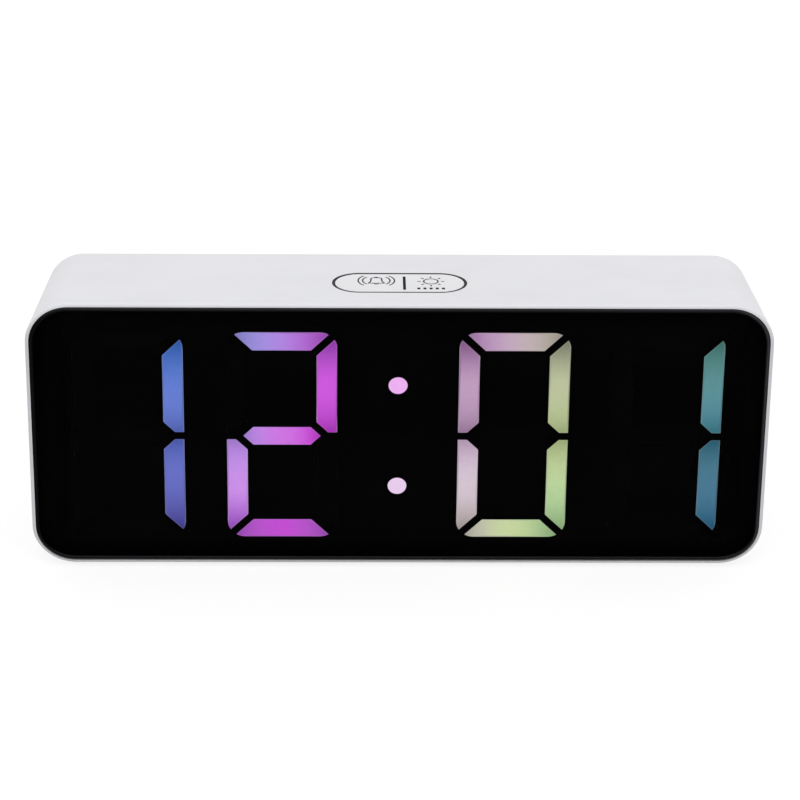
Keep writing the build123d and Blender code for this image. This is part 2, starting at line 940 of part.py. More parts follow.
def knob_box(front, rear, gap=0):
    """The slider's knob at the left end of its travel."""
    x = slide_place[0] - slide_travel / 2
    outline = Rectangle(slide_knob_length + 2 * gap, slide_knob_width + 2 * gap)
    return slab(Pos(x, slide_place[1]) * outline, front, rear)


def slide_switch_body():
    top = control_board_rear + slide_body_height
    body = slab(Pos(*slide_place) * Rectangle(slide_body_length, slide_body_width), control_board_rear, top)
    return body - slab(slide_slot(), top - slide_knob_sunk - slide_gap, top + overrun)


def alarm_slider():
    top = control_board_rear + slide_body_height
    knob = knob_box(top - slide_knob_sunk, cover_rear + slide_knob_proud)
    return chamfer(knob.edges().group_by(Axis.Y)[-1], slide_gap)


def usb_socket_shell():
    rear = cover_rear - socket_recess
    outer = slab(Pos(*socket_place) * pill(socket_width, socket_height), control_board_rear, rear)
    bore = pill(socket_width - 2 * socket_shell, socket_height - 2 * socket_shell)
    return outer - slab(Pos(*socket_place) * bore, control_board_rear + socket_floor, rear + overrun)


def usb_socket_tongue():
    rear = cover_rear - socket_recess - tongue_recess
    outline = Pos(*socket_place) * Rectangle(tongue_width, tongue_thickness)
    return slab(outline, control_board_rear + socket_floor, rear)


def sounder():
    rear = control_board_rear + sounder_height
    can = post(sounder_place, sounder_radius, control_board_rear, rear)
    can = fillet(can.edges().group_by(Axis.Y)[-1], button_edge_radius)
    return can - post(sounder_place, sounder_hole_radius, rear - overrun, rear + overrun)


def control_chip():
    outline = Pos(control_board_left + chip_inset, 0) * Rectangle(chip_size, chip_size)
    return slab(outline, control_board_front - chip_thickness, control_board_front)


def capacitor():
    place = (control_board_left + capacitor_inset, 0)
    can = post(place, capacitor_radius, display_board_rear + capacitor_clearance, control_board_front)
    return fillet(can.edges().group_by(Axis.Y)[0], button_edge_radius)


# Ribbon and leads
def ribbon_sockets():
    """Two sockets, back to back across the gap between the boards, with their mouths downward."""
    width = ribbon_width + 2 * ribbon_socket_margin
    outline = Pos(ribbon_centre, ribbon_socket_height / 2 - ribbon_socket_drop) * Rectangle(
        width, ribbon_socket_height
    )
    slot = Pos(ribbon_centre, ribbon_grip / 2 - ribbon_socket_drop) * Rectangle(
        ribbon_width + 2 * ribbon_gap, ribbon_grip + 2 * ribbon_gap
    )
    half = ribbon_thickness / 2 + ribbon_gap
    sockets = []
    for front in (display_board_rear, control_board_front - ribbon_socket_depth):
        middle = front + ribbon_socket_depth / 2
        block = slab(outline, front, front + ribbon_socket_depth)
        sockets.append(block - slab(slot, middle - half, middle + half))
    return together(sockets)


def display_ribbon():
    """A flat ribbon that drops from one board's socket and turns up into the other's."""
    front = display_board_rear + ribbon_socket_depth / 2
    rear = control_board_front - ribbon_socket_depth / 2
    top = ribbon_grip - ribbon_socket_drop
    turn = -ribbon_socket_drop - ribbon_drop
    outer = (rear - front + ribbon_thickness) / 2
    inner = outer - ribbon_thickness
    ring = Circle(outer) - Circle(inner)
    lower = ring & Pos(0, -outer) * Rectangle(4 * outer, 2 * outer)
    middle = (front + rear) / 2
    side = Plane(origin=(ribbon_centre - ribbon_width / 2, middle, turn), x_dir=(0, 1, 0), z_dir=(1, 0, 0))
    turned = extrude(side * lower, ribbon_width)
    strip = Pos(ribbon_centre, (top + turn) / 2) * Rectangle(ribbon_width, top - turn)
    half = ribbon_thickness / 2
    return turned + slab(strip, front - half, front + half) + slab(strip, rear - half, rear + half)


def largest_bend(points):
    """The largest bend radius that the runs between the points have room for."""
    runs = [Vector(end) - Vector(start) for start, end in zip(points, points[1:])]
    ends = (0, len(runs) - 1)
    rooms = [run.length if number in ends else run.length / 2 for number, run in enumerate(runs)]
    return min(
        min(rooms[number:number + 2]) / tan(radians(before.get_angle(after)) / 2)
        for number, (before, after) in enumerate(zip(runs, runs[1:]))
    )


def lead(points):
    """A round wire along straight runs joined by arcs, which tighten where a run is short."""
    radius = min(lead_bend, lead_bend_share * largest_bend(points))
    path = FilletPolyline(*points, radius=radius)
    start = Plane(origin=path @ 0, z_dir=path % 0)
    return sweep(start * Circle(lead_radius), path=path)


def battery_leads():
    """One lead from each end tab of the battery bay to the control board's front."""
    tab_face = cell_depth - contact_thickness / 2
    rises = cell_rises()
    right_x = bay_centre + bay_length / 2 + bay_wall + tab_length / 2
    left_x = bay_centre - bay_length / 2 - bay_wall - tab_length / 2
    layer = tab_face - lead_forward
    board_x = control_board_left + lead_reach / 2
    right = [
        (right_x, tab_face, rises[0]),
        (right_x, layer, rises[0]),
        (board_x, layer, rises[0]),
        (board_x, control_board_front, rises[0]),
    ]
    low = -bay_height / 2 - bay_wall - lead_drop
    shallow = control_board_front - (tab_face - layer) / 2 - lead_radius
    left = [
        (left_x, tab_face, rises[-1]),
        (left_x, shallow, rises[-1]),
        (left_x, shallow, low),
        (board_x, shallow, low),
        (board_x, shallow, low + lead_rise),
        (board_x, control_board_front, low + lead_rise),
    ]
    return together([lead(right), lead(left)])


def top_switch_leads():
    """Two leads from under the top switch board to the control board's front."""
    plane = roof_plane()
    leads = []
    for number in range(2):
        x = top_lead_offset + number * top_lead_step
        start = plane.from_local_coords((x, key_stem_offset, -top_board_foot))
        down = plane.from_local_coords((x, key_stem_offset, -top_board_foot - lead_rise))
        leads.append(lead([start, down, (x, control_board_front, down.Z)]))
    return together(leads)


# Screws and feet
def case_screws():
    one = screw(
        case_screw_head_radius, case_screw_head_height, case_pilot_radius - screw_fit, case_screw_length
    )
    seat = cover_rear - case_screw_head_height
    return together(facing(place, seat, 1) * one for place in case_boss_places)


def rubber_feet():
    """Round pads stuck flat under the drafted floor."""
    down = (0, sin(lean), -cos(lean))
    feet = []
    for depth in (front_foot_depth, rear_foot_depth):
        height = roof_draft * depth / case_depth - case_height / 2
        for side in (-1, 1):
            middle = (side * foot_spacing / 2, depth, height)
            sole = Plane(origin=middle, x_dir=(1, 0, 0), z_dir=down)
            pad = extrude(sole * Circle(foot_radius), foot_height)
            feet.append(fillet(pad.edges().sort_by(Axis.Z)[0], foot_edge_radius))
    return together(feet)


def make_pieces():
    pieces = {
        "main_housing": main_housing(),
        "front_lens": front_lens(),
        "lens_tape": lens_tape(),
        "segment_mask": segment_mask(),
        "colon_inserts": segment_inserts(colon_dots(colon_radius)),
        "dark_segment_inserts": segment_inserts(dark_ones()),
        "light_box": light_box(),
        "display_board": display_board(),
        "segment_leds": segment_leds(),
        "driver_chips": driver_chips(),
        "display_screws": display_screws(),
        "key_bezel": key_bezel(),
        "top_key": top_key(),
        "top_switch_body": top_switch_plane() * switch_body(),
        "top_switch_plunger": top_switch_plane() * switch_plunger(),
        "top_switch_board": top_switch_board(),
        "top_board_screws": top_board_screws(),
        "top_switch_leads": top_switch_leads(),
        "rear_cover": rear_cover(),
        "battery_door": battery_door(),
        "battery_cells": battery_cells(),
        "battery_springs": battery_springs(),
        "battery_contacts": contact_plates(),
        "battery_leads": battery_leads(),
        "control_board": control_board(),
        "control_board_screws": control_board_screws(),
        "control_switches": control_switches(),
        "slide_switch_body": slide_switch_body(),
        "alarm_slider": alarm_slider(),
        "usb_socket_shell": usb_socket_shell(),
        "usb_socket_tongue": usb_socket_tongue(),
        "sounder": sounder(),
        "control_chip": control_chip(),
        "capacitor": capacitor(),
        "ribbon_sockets": ribbon_sockets(),
        "display_ribbon": display_ribbon(),
        "case_screws": case_screws(),
        "rubber_feet": rubber_feet(),
    }
    for number, name in enumerate(digit_names):
        pieces[name + "_digit_inserts"] = segment_inserts(lit_in(number))
    for name, place in button_places.items():
        pieces[name + "_button"] = button(place)
        pieces[name + "_plunger"] = button_plunger(place)
    return pieces


def standing(pieces):
    """The move that leans the case back onto its floor, with the origin under the middle of the clock."""
    leaned = Location((0, 0, 0), (-degrees(lean), 0, 0))
    outer = [leaned * pieces[name] for name in ("main_housing", "front_lens", "rubber_feet")]
    box = together(outer).bounding_box()
    return Pos(0, -(box.min.Y + box.max.Y) / 2, -box.min.Z) * leaned


pieces = make_pieces()
stand = standing(pieces)
os.makedirs("parts", exist_ok=True)
for name, piece in pieces.items():
    export_step(stand * piece, f"parts/{name}.step")
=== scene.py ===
from math import atan2, cos, pi, radians, sin

import bmesh
import bpy
from mathutils import Matrix, Vector

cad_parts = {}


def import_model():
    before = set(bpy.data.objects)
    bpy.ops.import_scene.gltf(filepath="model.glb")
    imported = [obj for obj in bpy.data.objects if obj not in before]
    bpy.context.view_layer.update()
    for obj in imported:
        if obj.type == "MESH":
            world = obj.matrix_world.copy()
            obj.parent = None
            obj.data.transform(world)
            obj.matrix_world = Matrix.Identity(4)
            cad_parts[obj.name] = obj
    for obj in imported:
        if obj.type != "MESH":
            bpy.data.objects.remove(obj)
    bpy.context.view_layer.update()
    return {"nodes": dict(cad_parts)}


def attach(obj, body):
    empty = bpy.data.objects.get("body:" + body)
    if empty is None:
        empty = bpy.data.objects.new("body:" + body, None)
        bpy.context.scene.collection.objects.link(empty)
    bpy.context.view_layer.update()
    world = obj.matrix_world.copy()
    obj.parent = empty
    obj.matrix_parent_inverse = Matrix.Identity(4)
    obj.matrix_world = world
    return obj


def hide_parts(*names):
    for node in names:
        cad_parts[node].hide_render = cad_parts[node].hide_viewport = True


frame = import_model()
nodes = frame["nodes"]
MM = 0.001

# The case's own frame, which leans back in the row's frame: x to the right, y to the rear and z up, from
# the middle of the front face. Places on the clock are written in it, in millimetres.
CASE_HEIGHT = 65.65
CASE_DEPTH = 32.4
ROOF_DRAFT = 3.2
COVER_REAR = 31.8
KEY_DEPTH = 13.73
LEAN = atan2(ROOF_DRAFT, CASE_DEPTH)
CASE_ORIGIN = Vector((0, -15.900, 33.666)) * MM
CASE = Matrix.Translation(CASE_ORIGIN) @ Matrix.Rotation(-LEAN, 4, "X")
CASE_INVERSE = CASE.inverted()
CASE_TURN = CASE.to_3x3()
ROOF_HEIGHT = CASE_HEIGHT / 2 - ROOF_DRAFT * KEY_DEPTH / CASE_DEPTH
RIGHT = Vector((1, 0, 0))
UP = Vector((0, 0, 1))


def in_case(point):
    """A point of the row's frame in the case's own frame, in millimetres."""
    return CASE_INVERSE @ point / MM


def flat_place(origin, right, up):
    """A drawing plane on the clock, whose axes point right, up and out of the surface."""
    right, up = Vector(right), Vector(up)
    turn = Matrix((right, up, right.cross(up))).transposed().to_4x4()
    return CASE @ Matrix.Translation(Vector(origin) * MM) @ turn


FRONT = (CASE_TURN @ Vector((0, -1, 0))).normalized()
KEY_TOP = flat_place((0, KEY_DEPTH, ROOF_HEIGHT), (1, 0, 0), (0, cos(LEAN), -sin(LEAN)))
REAR_FACE = flat_place((0, COVER_REAR, 0), (-1, 0, 0), (0, 0, 1))


# Materials

# Noise from 0 to 1 rarely leaves the range between these two
NOISE_LOW = 0.3
NOISE_HIGH = 0.7

# How alike the true and the rounded normal are on an edge painted paler, for wear and as a painted
# highlight, and beside it
EDGE_RANGE = (0.8, 0.99)

# Inputs and output of the Mix node when it mixes colours
MIX_SHARE = 0
MIX_FIRST = 6
MIX_SECOND = 7
MIX_RESULT = 2


def linear(red, green, blue):
    """A colour written as screen values from 0 to 255, as Blender wants it."""
    shares = [value / 255 for value in (red, green, blue)]
    return [((v + 0.055) / 1.055) ** 2.4 if v > 0.04045 else v / 12.92 for v in shares]


class Look:
    """A material built round its Principled shader, with short calls for the nodes that feed it."""

    def __init__(self, name, roughness, metallic=0.0, specular=0.5, coat=0.0):
        self.material = bpy.data.materials.new(name)
        self.material.use_nodes = True
        self.tree = self.material.node_tree
        self.shader = self.tree.nodes["Principled BSDF"]
        self.shader.inputs["Roughness"].default_value = roughness
        self.shader.inputs["Metallic"].default_value = metallic
        self.shader.inputs["Specular IOR Level"].default_value = specular
        self.shader.inputs["Coat Weight"].default_value = coat
        self.place = self.add("ShaderNodeTexCoord").outputs["Object"]

    def add(self, kind, **settings):
        """A new node of a kind, with its settings."""
        node = self.tree.nodes.new(kind)
        for name, value in settings.items():
            setattr(node, name, value)
        return node

    def feed(self, node, socket, value):
        """Links an output to a socket, or sets the socket to a plain value."""
        if isinstance(value, bpy.types.NodeSocket):
            self.tree.links.new(value, node.inputs[socket])
        else:
            node.inputs[socket].default_value = value

    def feed_colour(self, node, socket, value):
        """The same for a colour, which is an output or its red, green and blue."""
        self.feed(node, socket, value if isinstance(value, bpy.types.NodeSocket) else (*value, 1))

    def stretched(self, along):
        """The place, squeezed along each axis, so that a texture on it is drawn out along the others."""
        mapping = self.add("ShaderNodeMapping")
        self.feed(mapping, "Vector", self.place)
        self.feed(mapping, "Scale", along)
        return mapping.outputs["Vector"]

    def noise(self, size, detail=2.0, place=None):
        """Soft noise whose patches are about size millimetres across, from 0 to 1."""
        node = self.add("ShaderNodeTexNoise")
        self.feed(node, "Vector", place or self.place)
        self.feed(node, "Scale", 1 / (size * MM))
        self.feed(node, "Detail", detail)
        return node.outputs["Fac"]

    def ranged(self, value, low, high, start=NOISE_LOW, end=NOISE_HIGH):
        """The value between start and end spread over low to high."""
        node = self.add("ShaderNodeMapRange")
        self.feed(node, "Value", value)
        self.feed(node, "From Min", start)
        self.feed(node, "From Max", end)
        self.feed(node, "To Min", low)
        self.feed(node, "To Max", high)
        return node.outputs["Result"]

    def blend(self, share, first, second, kind="MIX"):
        """The first colour turning into the second, or into their product, as share goes from 0 to 1."""
        node = self.add("ShaderNodeMix", data_type="RGBA", blend_type=kind)
        self.feed(node, MIX_SHARE, share)
        self.feed_colour(node, MIX_FIRST, first)
        self.feed_colour(node, MIX_SECOND, second)
        return node.outputs[MIX_RESULT]

    def alike(self, first, second):
        """How far two directions point the same way, 1 when they are one."""
        node = self.add("ShaderNodeVectorMath", operation="DOT_PRODUCT")
        self.feed(node, 0, first)
        self.feed(node, 1, second)
        return node.outputs["Value"]

    def normal(self):
        """The way that the surface faces."""
        return self.add("ShaderNodeNewGeometry").outputs["Normal"]

    def edges(self, radius):
        """How far a spot lies on a rounded edge, which is painted paler for wear and as a highlight,
        from 0 on the flat to 1 on the edge.
        """
        rounded = self.add("ShaderNodeBevel")
        self.feed(rounded, "Radius", radius * MM)
        return self.ranged(self.alike(rounded.outputs["Normal"], self.normal()), 1.0, 0.0, *EDGE_RANGE)

    def colour(self, value):
        """Sets the surface's colour."""
        self.feed_colour(self.shader, "Base Color", value)

    def rough(self, value):
        """Sets the surface's roughness."""
        self.feed(self.shader, "Roughness", value)

    def bumps(self, height, depth):
        """Raises the surface by up to depth millimetres where the height is 1."""
        node = self.add("ShaderNodeBump")
        self.feed(node, "Height", height)
        self.feed(node, "Distance", depth * MM)
        self.feed(self.shader, "Normal", node.outputs["Normal"])


# Patches, radii and pitches of the materials are in millimetres
EDGE_WEAR_AND_HIGHLIGHT_RADIUS = 0.25
EDGE_WEAR_AND_HIGHLIGHT_LIFT = 0.05
FLOW_PATCH = 22
FLOW_STRETCH = (1, 1.6, 2.4)
SHEEN_PATCH = 3.5
SHEEN_SPREAD = 0.06
DULL_SHARE = 0.72
DULL_PATCH = 2.5
MARK_PATCH = 0.6
MARK_SMOOTHER = 0.08
MARK_ROUGHER = 0.12
TRACK_PITCH = 4
TRACK_GAP = 0.09
LENS_ALPHA = 0.2
# The rim's painted reflection: the range over which it fades in, and the front-left side on which it
# stays dark
RIM_REFLECTION_RANGE = (0.45, 0.9)
DARK_REFLECTION_SIDE = (FRONT - 0.5 * RIGHT).normalized()
GLOW_LAYER = "glow"


def moulded(name, colour, roughness, texture=0.18, depth=0.008, tone=0.04, wear_and_highlight=0.06, specular=0.5):
    """Moulded plastic: a fine spark-eroded texture, faint flow marks, and edges painted paler, partly as
    wear from handling and partly as a painted highlight.
    """
    look = Look(name, roughness, specular=specular)
    base = linear(*colour)
    darker = [v * (1 - tone) for v in base]
    paler = [min(1, v * (1 + wear_and_highlight) + wear_and_highlight * EDGE_WEAR_AND_HIGHLIGHT_LIFT) for v in base]
    flow = look.noise(FLOW_PATCH, place=look.stretched(FLOW_STRETCH))
    shade = look.blend(look.ranged(flow, 0.0, 1.0), darker, base)
    # Paler edges: partly wear, partly a painted highlight along the rounded edges
    look.colour(look.blend(look.edges(EDGE_WEAR_AND_HIGHLIGHT_RADIUS), shade, paler))
    sheen = look.noise(SHEEN_PATCH, detail=4.0)
    look.rough(look.ranged(sheen, roughness - SHEEN_SPREAD, roughness + SHEEN_SPREAD))
    look.bumps(look.noise(texture, detail=3.0), depth)
    return look.material


def metal(name, colour, roughness, along=(1, 12, 1)):
    """Plated sheet or turned metal with fine rolling marks and dull patches."""
    look = Look(name, roughness, metallic=1.0)
    base = linear(*colour)
    dull = [v * DULL_SHARE for v in base]
    look.colour(look.blend(look.ranged(look.noise(DULL_PATCH, detail=5.0), 0.0, 0.8), base, dull))
    marks = look.noise(MARK_PATCH, detail=4.0, place=look.stretched(along))
    look.rough(look.ranged(marks, roughness - MARK_SMOOTHER, roughness + MARK_ROUGHER))
    look.bumps(marks, depth=0.004)
    return look.material


def board():
    """Solder mask over copper: darker gaps between the tracks, a glossy skin and a faint glass weave."""
    look = Look("solder_mask", 0.32, coat=0.4)
    tracks = look.add("ShaderNodeTexBrick", offset=0.37, squash=0.6)
    look.feed(tracks, "Vector", look.stretched((1, 0, 1)))
    look.feed(tracks, "Scale", 1 / (TRACK_PITCH * MM))
    look.feed(tracks, "Mortar Size", TRACK_GAP)
    look.feed(tracks, "Mortar Smooth", 0.3)
    look.feed_colour(tracks, "Color1", linear(18, 104, 62))
    look.feed_colour(tracks, "Color2", linear(22, 112, 66))
    look.feed_colour(tracks, "Mortar", linear(10, 66, 40))
    cloud = look.ranged(look.noise(size=7), 0.0, 0.35)
    look.colour(look.blend(cloud, tracks.outputs["Color"], linear(12, 84, 50)))
    look.bumps(look.noise(size=0.5), depth=0.01)
    return look.material


def smoked_window():
    """The lens's face: black acrylic that lets the lit segments through."""
    look = Look("smoked_lens_face", 0.06, specular=0.02)
    cloud = look.ranged(look.noise(size=14), 0.0, 1.0)
    look.colour(look.blend(cloud, linear(1, 1, 2), linear(3, 3, 4)))
    look.feed(look.shader, "Alpha", LENS_ALPHA)
    look.rough(look.ranged(look.noise(size=5, detail=4.0), 0.05, 0.09))
    return look.material


def smoked_edge():
    """The lens's polished rim, with a painted reflection: pale grey where it turns away from the front
    and from the left side, on which the painted reflection is kept dim.
    """
    look = Look("smoked_lens_rim_painted_reflection", 0.1, specular=0.04)
    # Painted reflection: the rim's black turns to pale grey where its normal turns away from the
    # front-left
    painted_reflection = look.ranged(look.alike(look.normal(), DARK_REFLECTION_SIDE), 1.0, 0.0, *RIM_REFLECTION_RANGE)
    black = look.blend(look.noise(size=6), linear(2, 2, 3), linear(4, 4, 5))
    look.colour(look.blend(painted_reflection, black, linear(60, 60, 63)))
    look.rough(look.ranged(look.noise(size=2.5, detail=4.0), 0.08, 0.16))
    look.bumps(look.noise(size=0.8), depth=0.002)
    return look.material


def back_print():
    """The black print on the back of the lens, round the window over the digits."""
    look = Look("lens_back_print", 0.6, specular=0.02)
    look.colour(look.blend(look.noise(size=9), linear(2, 2, 3), linear(3, 3, 4)))
    look.rough(look.ranged(look.noise(size=0.6, detail=3.0), 0.5, 0.7))
    return look.material


def lit_diffuser():
    """A lit segment: the colour of the LEDs behind it, with the grain of the diffuser over it."""
    look = Look("lit_diffuser", 0.5, specular=0.1)
    glow = look.add("ShaderNodeVertexColor", layer_name=GLOW_LAYER).outputs["Color"]
    streaks = look.noise(size=0.35, detail=3.0, place=look.stretched((0.25, 1, 1)))
    cloud = look.noise(size=1.6)
    grain = look.blend(0.4, look.ranged(streaks, 0.95, 1.04), look.ranged(cloud, 0.96, 1.03))
    look.colour(linear(14, 14, 16))
    look.feed(look.shader, "Emission Color", look.blend(1.0, glow, grain, kind="MULTIPLY"))
    # The light passes both faces of the lens before it is seen
    look.feed(look.shader, "Emission Strength", 1 / (1 - LENS_ALPHA) ** 2)
    return look.material


WHITE = moulded("white_shell", (229, 229, 233), 0.42, wear_and_highlight=0.18)
KEY_WHITE = moulded("white_key", (231, 231, 234), 0.4)
GREY = moulded("grey_rubber_key", (128, 129, 131), 0.55, texture=0.3)
BLACK = moulded("black_plastic", (30, 30, 32), 0.5, tone=0.3)
COLLAR = moulded("black_collar", (14, 14, 16), 0.55, tone=0.15, wear_and_highlight=0.1, specular=0.2)
FILM = moulded("black_film", (3, 3, 4), 0.75, tone=0.3, wear_and_highlight=0.0, specular=0.02)
DARK_SEGMENT = moulded("unlit_diffuser", (3, 3, 4), 0.6, tone=0.3, wear_and_highlight=0.0, specular=0.02)
CELL_WHITE = moulded("light_box_white", (224, 224, 220), 0.55, tone=0.06)
CHIP = moulded("epoxy_black", (34, 34, 36), 0.6, texture=0.12, tone=0.25)
LED = moulded("led_package", (226, 222, 196), 0.35, texture=0.4, tone=0.12)
RUBBER = moulded(
    "foot_rubber", (26, 26, 27), 0.85, texture=0.3, depth=0.02, tone=0.3, specular=0.25
)
RIBBON = moulded("ribbon_white", (216, 214, 205), 0.5, texture=0.9, depth=0.05, tone=0.12)
LEAD = moulded("lead_red", (168, 26, 22), 0.4, texture=0.6, tone=0.15)
SLEEVE = moulded("cell_sleeve", (38, 44, 50), 0.25, texture=1.5, tone=0.15, wear_and_highlight=0.25)
BAND = moulded("cell_band", (184, 122, 62), 0.28, texture=1.5, tone=0.12, wear_and_highlight=0.2)
STEEL = metal("plated_steel", (176, 176, 178), 0.32)
NICKEL = metal("bright_nickel", (196, 194, 188), 0.2, along=(1, 1, 8))
CAN = metal("brushed_can", (190, 191, 194), 0.28, along=(1, 1, 6))
BOARD = board()
WINDOW = smoked_window()
LENS_RIM = smoked_edge()
BACK_PRINT = back_print()
LIT = lit_diffuser()
INK = moulded(
    "black_ink", (16, 16, 19), 0.7, texture=0.5, depth=0.002, tone=0.2, wear_and_highlight=0.0, specular=0.1
)
PALE_INK = moulded(
    "grey_ink", (120, 121, 124), 0.6, texture=0.5, depth=0.002, tone=0.1, wear_and_highlight=0.0, specular=0.3
)

NODE_LOOKS = {
    WHITE: ("main_housing", "rear_cover", "battery_door"),
    KEY_WHITE: ("top_key",),
    COLLAR: ("key_bezel",),
    FILM: ("lens_tape", "segment_mask"),
    DARK_SEGMENT: ("dark_segment_inserts",),
    CELL_WHITE: ("light_box",),
    BOARD: ("display_board", "control_board", "top_switch_board"),
    LED: ("segment_leds",),
    CHIP: ("driver_chips", "control_chip", "sounder"),
    STEEL: (
        "display_screws",
        "top_board_screws",
        "control_board_screws",
        "case_screws",
        "top_switch_body",
        "control_switches",
        "slide_switch_body",
    ),
    NICKEL: ("battery_contacts", "battery_springs", "usb_socket_shell"),
    CAN: ("capacitor",),
    BLACK: ("top_switch_plunger", "alarm_slider", "usb_socket_tongue", "ribbon_sockets"),
    RUBBER: ("rubber_feet",),
    RIBBON: ("display_ribbon",),
    LEAD: ("battery_leads", "top_switch_leads"),
}
KEY_NAMES = ("time", "alarm", "plus", "minus", "colour")


def dress(node, look):
    """Gives a CAD node its look."""
    materials = nodes[node].data.materials
    materials.clear()
    materials.append(look)


for look, names in NODE_LOOKS.items():
    for node in names:
        dress(node, look)
for name in KEY_NAMES:
    dress(name + "_button", GREY)
    dress(name + "_plunger", BLACK)


# Pieces made here

# Corners nearer than this are one, in millimetres
CORNER_GAP = 0.001

# Faces whose normal lies this much along the clock's front or back count as flat
FLAT_SHARE = 0.999


def put(name, data):
    """A new object in the scene."""
    piece = bpy.data.objects.new(name, data)
    bpy.context.scene.collection.objects.link(piece)
    return piece


def new_piece(name, mesh, body, looks):
    """A piece of the scene from a bmesh, riding on a CAD body."""
    data = bpy.data.meshes.new(name)
    mesh.to_mesh(data)
    mesh.free()
    for look in looks:
        data.materials.append(look)
    piece = put(name, data)
    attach(piece, body)
    return piece


def joined_copy(node):
    """A CAD node's mesh as a bmesh with its shared corners joined."""
    mesh = bmesh.new()
    mesh.from_mesh(nodes[node].data)
    bmesh.ops.remove_doubles(mesh, verts=mesh.verts, dist=CORNER_GAP * MM)
    return mesh


def cut(mesh, faces, place, way):
    """Cuts the faces at a place of the case, square to a way in it, and returns the faces made."""
    parts = list({part for face in faces for part in (*face.verts, *face.edges, face)})
    normal = CASE_TURN @ way
    made = bmesh.ops.bisect_plane(mesh, geom=parts, plane_co=CASE @ (place * MM), plane_no=normal)
    return [part for part in made["geom"] if isinstance(part, bmesh.types.BMFace)]


# Lens: the clear face, the polished rim round it and the print on the back round the digits' window
WINDOW_HALF_WIDTH = 74.0
WINDOW_HALF_HEIGHT = 27.4
LENS_LOOKS = (WINDOW, LENS_RIM, BACK_PRINT)


def lens():
    """The front lens, with its back cut along the window's four sides."""
    mesh = joined_copy("front_lens")
    for way, reach in ((RIGHT, WINDOW_HALF_WIDTH), (UP, WINDOW_HALF_HEIGHT)):
        for side in (-1, 1):
            mesh.normal_update()
            backs = [face for face in mesh.faces if face.normal.dot(FRONT) < -FLAT_SHARE]
            cut(mesh, backs, way * side * reach, way)
    mesh.normal_update()
    for face in mesh.faces:
        facing = face.normal.dot(FRONT)
        flat = abs(facing) > FLAT_SHARE
        spot = in_case(face.calc_center_median())
        framed = abs(spot.x) > WINDOW_HALF_WIDTH or abs(spot.z) > WINDOW_HALF_HEIGHT
        if not flat:
            look = LENS_RIM
        elif facing < 0 and framed:
            look = BACK_PRINT
        else:
            look = WINDOW
        face.material_index = LENS_LOOKS.index(look)
        face.smooth = not flat
    piece = new_piece("smoked_lens", mesh, "clock", LENS_LOOKS)
    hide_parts("front_lens")


lens()


# Lit segments: the hues of the LEDs behind each one, from left to right or from the top down
BLUE = linear(45, 100, 192)
PERIWINKLE = linear(93, 115, 208)
INDIGO = linear(88, 104, 201)
DUSK = linear(70, 68, 163)
LAVENDER = linear(150, 145, 226)
LILAC = linear(194, 144, 244)
WISTERIA = linear(194, 130, 224)
AMETHYST = linear(174, 89, 216)
ORCHID = linear(178, 80, 206)
PLUM = linear(170, 63, 198)
MAGENTA = linear(198, 60, 213)
ROSE = linear(197, 98, 218)
FUCHSIA = linear(213, 62, 228)
CERISE = linear(185, 42, 200)
MAUVE = linear(157, 107, 161)
THISTLE = linear(182, 145, 182)
HEATHER = linear(186, 140, 192)
SAND = linear(184, 177, 162)
STONE = linear(148, 151, 126)
SAGE = linear(178, 185, 145)
LIME = linear(188, 204, 146)
MINT = linear(162, 199, 141)
BLUSH = linear(214, 186, 214)
SHELL = linear(204, 187, 200)
CLAY = linear(190, 177, 176)
PEARL = linear(203, 198, 184)
PINE = linear(64, 126, 120)
SEA = linear(64, 133, 150)
TEAL = linear(42, 108, 130)
OCEAN = linear(18, 97, 132)
PINK = linear(236, 176, 240)
PALE_PINK = linear(233, 204, 236)
GLOWS = {
    "first_digit_inserts": {"b": (BLUE, PERIWINKLE), "c": (INDIGO, DUSK)},
    "second_digit_inserts": {
        "a": (LAVENDER, ORCHID),
        "b": (PLUM, MAGENTA, MAGENTA),
        "g": (LILAC, ROSE, FUCHSIA),
        "e": (LILAC, WISTERIA, AMETHYST),
        "d": (ORCHID, CERISE, ORCHID),
    },
    "third_digit_inserts": {
        "a": (HEATHER, SAND),
        "b": (STONE, SAGE, LIME),
        "c": (LIME, MINT),
        "d": (PEARL, LIME, MINT),
        "e": (BLUSH, SHELL, CLAY),
        "f": (MAUVE, THISTLE, THISTLE),
    },
    "fourth_digit_inserts": {"b": (PINE, SEA), "c": (TEAL, OCEAN)},
    "colon_inserts": {"upper dot": (PINK, PINK), "lower dot": (PALE_PINK, PALE_PINK)},
}

# The shares are of the colour's brightness; widths, steps and bands are in millimetres
OUTLINE_WIDTH = 0.3
OUTLINE_PALER_SHARE = 0.05
END_DIMMING_SHARE = 0.4
MIDDLE_PALER_SHARE = 0.05
GLOW_STEP = 1.5
DIGIT_MIDDLE = -0.85
MIDDLE_BAND = 6.0


def is_level(low, high):
    """Whether a segment lies level, from its box in the case's frame."""
    return high.x - low.x > high.z - low.z


def segment_letter(low, high, digit_centre):
    """The usual letter of a segment, or the name of a dot, from its box in the case's frame."""
    middle = (low + high) / 2
    above = middle.z > DIGIT_MIDDLE
    if max(high.x - low.x, high.z - low.z) < MIDDLE_BAND:
        return "upper dot" if above else "lower dot"
    if is_level(low, high):
        if abs(middle.z - DIGIT_MIDDLE) < MIDDLE_BAND:
            return "g"
        return "a" if above else "d"
    if middle.x > digit_centre:
        return "b" if above else "c"
    return "f" if above else "e"


def between(stops, share):
    """The colour at a share of the way along evenly spaced stops, with soft turns at the stops."""
    place = share * (len(stops) - 1)
    number = min(int(place), len(stops) - 2)
    part = place - number
    part = part * part * (3 - 2 * part)
    return [a + (b - a) * part for a, b in zip(stops[number], stops[number + 1])]


